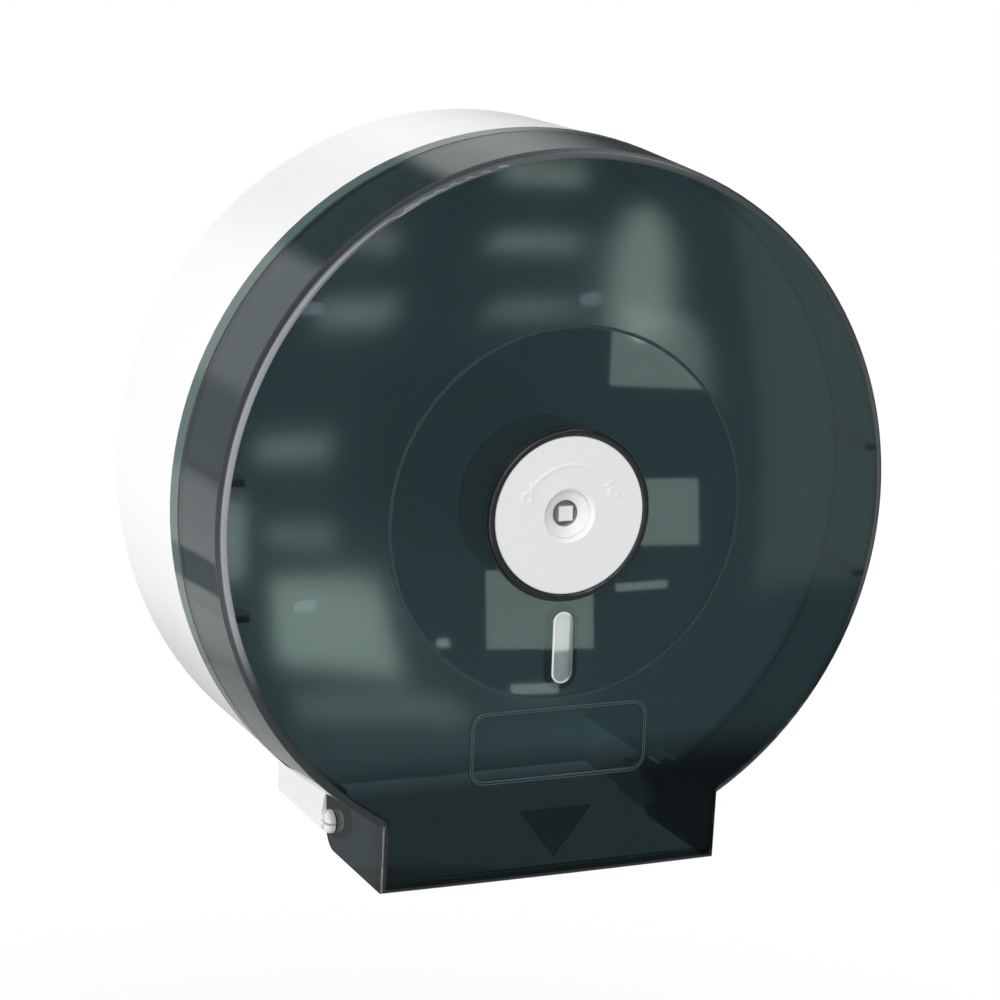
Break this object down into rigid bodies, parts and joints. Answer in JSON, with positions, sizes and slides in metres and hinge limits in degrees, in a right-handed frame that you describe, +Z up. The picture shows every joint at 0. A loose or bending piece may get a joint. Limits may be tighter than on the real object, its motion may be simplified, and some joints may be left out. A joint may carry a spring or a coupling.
{
  "type": "jumbo toilet roll dispenser",
  "caption": "Round wall dispenser for a jumbo toilet roll: white drum case, smoked see-through cover hinged at the paper mouth, turning roll hub and a key lock in the middle of the face.",
  "frame": {"origin": "on the wall face of the case, on the axis of the roll", "axes": "+Y into the wall, +Z up, +X to the right of someone who faces the dispenser"},
  "size_m": [0.275, 0.1224, 0.2788],
  "materials": {
    "white_plastic": "smooth moulded white plastic",
    "strip_plastic": "white plastic with moulded teeth",
    "pin_plastic": "white moulded plastic",
    "hub_plastic": "light grey moulded plastic",
    "smoked_plastic": "smoked green see-through plastic, polished in the middle and lightly frosted round it",
    "clear_plastic": "clear polished plastic",
    "lock_plastic": "satin light grey plastic",
    "latch_steel": "plain steel",
    "screw_steel": "zinc plated steel"
  },
  "bodies": {
    "case": {"back_case": "white_plastic", "tear_strip_left": "strip_plastic", "tear_strip_right": "strip_plastic", "hinge_pin_left": "pin_plastic", "hinge_pin_right": "pin_plastic", "spindle_post": "white_plastic", "spindle_screws": "screw_steel", "hub_washer": "pin_plastic", "keeper_plate": "white_plastic", "keeper_screws": "screw_steel"},
    "cover": {"front_cover": "smoked_plastic", "window_lens": "clear_plastic", "lock_disc": "lock_plastic", "lock_disc_screws": "screw_steel", "rotor_retainer": "hub_plastic", "rotor_washer": "pin_plastic"},
    "lock": {"lock_rotor": "lock_plastic", "latch_bar": "latch_steel", "latch_screw": "screw_steel"},
    "hub": {"roll_hub": "hub_plastic"}
  },
  "joints": [
    {"name": "cover_hinge", "type": "hinge", "parent": "case", "child": "cover", "pos_m": [0, -0.0648, -0.1295], "axis": [1, 0, 0], "range_deg": [0, 90]},
    {"name": "lock_turn", "type": "hinge", "parent": "cover", "child": "lock", "pos_m": [0, -0.1, 0], "axis": [0, 1, 0], "range_deg": [0, 90]},
    {"name": "hub_spin", "type": "hinge", "parent": "case", "child": "hub", "pos_m": [0, -0.05, 0], "axis": [0, 1, 0], "continuous": true}
  ]
}
